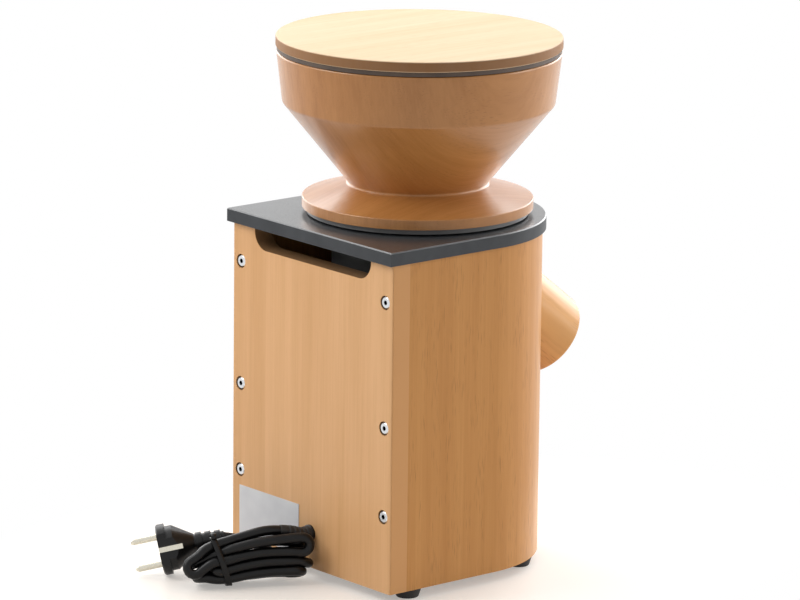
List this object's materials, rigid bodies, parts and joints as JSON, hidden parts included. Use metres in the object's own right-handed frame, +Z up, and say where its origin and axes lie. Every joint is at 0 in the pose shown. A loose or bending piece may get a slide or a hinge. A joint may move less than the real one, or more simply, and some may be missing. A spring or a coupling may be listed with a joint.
{
  "type": "electric grain mill",
  "caption": "Table-top electric grain mill: a turned wooden hopper with a lid screws into a bent plywood body that hides the motor and millstones, with a sloping spout and a mains cord.",
  "frame": {"origin": "on the table, below the middle of the mill's box without its cord", "axes": "+Z up along the stones' axis, -Y towards the spout, +Y towards the flat back board, +X the side with the switch"},
  "size_m": [0.2006, 0.3293, 0.3754],
  "materials": {
    "beech_veneer": "clear-lacquered beech plywood, bent",
    "beech_board": "clear-lacquered solid beech staves",
    "turned_beech": "oiled, lathe-turned laminated beech",
    "lid_beech": "oiled pale beech",
    "plywood": "plain plywood",
    "slate_laminate": "satin slate-grey high-pressure laminate",
    "grey_composite": "satin grey glass-filled plastic",
    "grey_seal": "soft grey sealing ring",
    "foot_rubber": "matte black rubber",
    "zinc_steel": "bright zinc-plated steel",
    "spring_steel": "drawn spring steel",
    "felt": "pressed wool felt",
    "lamination_steel": "stacked electrical steel",
    "copper_winding": "enamelled copper wire",
    "cast_aluminium": "die-cast aluminium",
    "bearing_steel": "ground bearing steel",
    "capacitor_can": "drawn aluminium can",
    "ivory_plastic": "moulded ivory plastic",
    "black_plastic": "moulded black plastic",
    "black_cord": "satin black flexible PVC",
    "blank_film": "plain white film, blank",
    "ground_steel": "ground steel",
    "millstone": "bonded corundum, dressed",
    "nickel_plate": "nickel-plated brass"
  },
  "bodies": {
    "housing": {"body_shell": "beech_veneer", "back_board": "beech_board", "back_board_screws": "zinc_steel", "corner_blocks": "plywood", "base_board": "plywood", "base_screws": "zinc_steel", "rubber_feet": "foot_rubber", "foot_screws": "zinc_steel", "top_plate": "slate_laminate", "thread_ring": "grey_composite", "grinding_chamber": "grey_composite", "chamber_floor": "cast_aluminium", "motor_posts": "ground_steel", "chamber_screws": "zinc_steel", "outlet_tube": "grey_composite", "spout": "turned_beech", "shaft_seal": "felt", "spring_shelves": "cast_aluminium", "guide_pins": "ground_steel", "pressure_springs": "spring_steel", "motor_stator": "lamination_steel", "stator_windings": "copper_winding", "motor_upper_shield": "cast_aluminium", "motor_lower_shield": "cast_aluminium", "motor_bolts": "zinc_steel", "bearing_outer_rings": "bearing_steel", "run_capacitor": "capacitor_can", "capacitor_clip": "zinc_steel", "terminal_block": "ivory_plastic", "switch_housing": "black_plastic", "cord_grip": "black_plastic", "cord_grip_nut": "black_plastic", "blank_label": "blank_film", "cord_lead": "black_cord", "cord_hank": "black_cord", "cord_tail": "black_cord", "cord_tie": "black_plastic", "plug_body": "black_plastic", "plug_pins": "nickel_plate", "earth_clips": "nickel_plate"},
    "rotor": {"motor_shaft": "ground_steel", "rotor_core": "lamination_steel", "rotor_cage": "cast_aluminium", "bearing_inner_rings": "bearing_steel", "cooling_fan": "black_plastic", "stone_carrier": "cast_aluminium", "running_stone": "millstone", "stone_washer": "zinc_steel", "stone_nut": "zinc_steel"},
    "upper_stone": {"fixed_stone": "millstone", "stone_holder": "cast_aluminium"},
    "hopper": {"hopper_foot": "turned_beech", "hopper_bowl": "turned_beech", "hopper_rim": "turned_beech", "thread_collar": "grey_composite", "collar_screws": "zinc_steel"},
    "lid": {"lid_disc": "lid_beech", "lid_ring": "grey_seal"},
    "rocker": {"switch_rocker": "black_plastic"}
  },
  "joints": [
    {"name": "rotor_spin", "type": "hinge", "parent": "housing", "child": "rotor", "pos_m": [0, 0.0205, 0.12], "axis": [0, 0, 1], "continuous": true},
    {"name": "stone_lift", "type": "slide", "parent": "housing", "child": "upper_stone", "axis": [0, 0, 1], "range_m": [0, 0.0028], "deforming": ["pressure_springs"]},
    {"name": "hopper_turn", "type": "hinge", "parent": "upper_stone", "child": "hopper", "pos_m": [0, 0.0205, 0.245], "axis": [0, 0, 1], "range_deg": [0, 330]},
    {"name": "lid_lift", "type": "slide", "parent": "hopper", "child": "lid", "axis": [0, 0, 1], "range_m": [0, 0.08]},
    {"name": "rocker_tilt", "type": "hinge", "parent": "housing", "child": "rocker", "pos_m": [0.084, 0.0345, 0.044], "axis": [0, 1, 0], "range_deg": [-16, 0]}
  ],
  "couplings": [
    {"joint": "stone_lift", "follows": "hopper_turn", "m_per_rad": 0.00047746}
  ]
}
